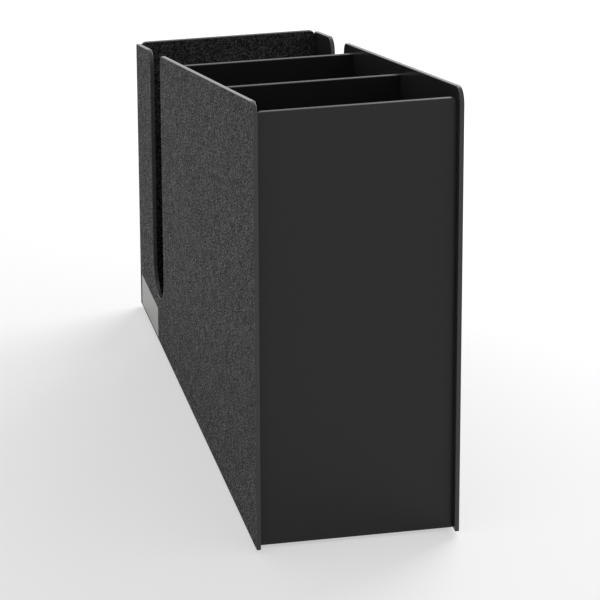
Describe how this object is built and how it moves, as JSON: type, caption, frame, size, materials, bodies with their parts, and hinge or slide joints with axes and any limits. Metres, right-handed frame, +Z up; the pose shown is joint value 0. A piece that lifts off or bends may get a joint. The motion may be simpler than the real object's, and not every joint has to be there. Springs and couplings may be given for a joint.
{
  "type": "cutlery dispenser",
  "caption": "Narrow open-topped countertop cutlery dispenser: compartments in a row, a top edge that slopes down to the front, and a finger slot in each side.",
  "frame": {"origin": "midway between the sides and the ends, on the surface that the feet stand on", "axes": "+Y from the low front end to the tall rear end, +X to the right seen from the front, +Z up"},
  "size_m": [0.1463, 0.468, 0.3323],
  "materials": {
    "grained_sheet": "black plastic sheet, fine leather grain on one face and smooth matte on the other",
    "foil": "bare satin foil, blank",
    "foot_rubber": "soft black rubber, matte"
  },
  "bodies": {
    "root": {"left_side_panel": "grained_sheet", "right_side_panel": "grained_sheet", "rear_panel": "grained_sheet", "front_panel": "grained_sheet", "rear_divider": "grained_sheet", "front_divider": "grained_sheet", "floor_panel": "grained_sheet", "label_plate": "foil", "foot_front_left": "foot_rubber", "foot_front_right": "foot_rubber", "foot_rear_left": "foot_rubber", "foot_rear_right": "foot_rubber"}
  },
  "joints": []
}
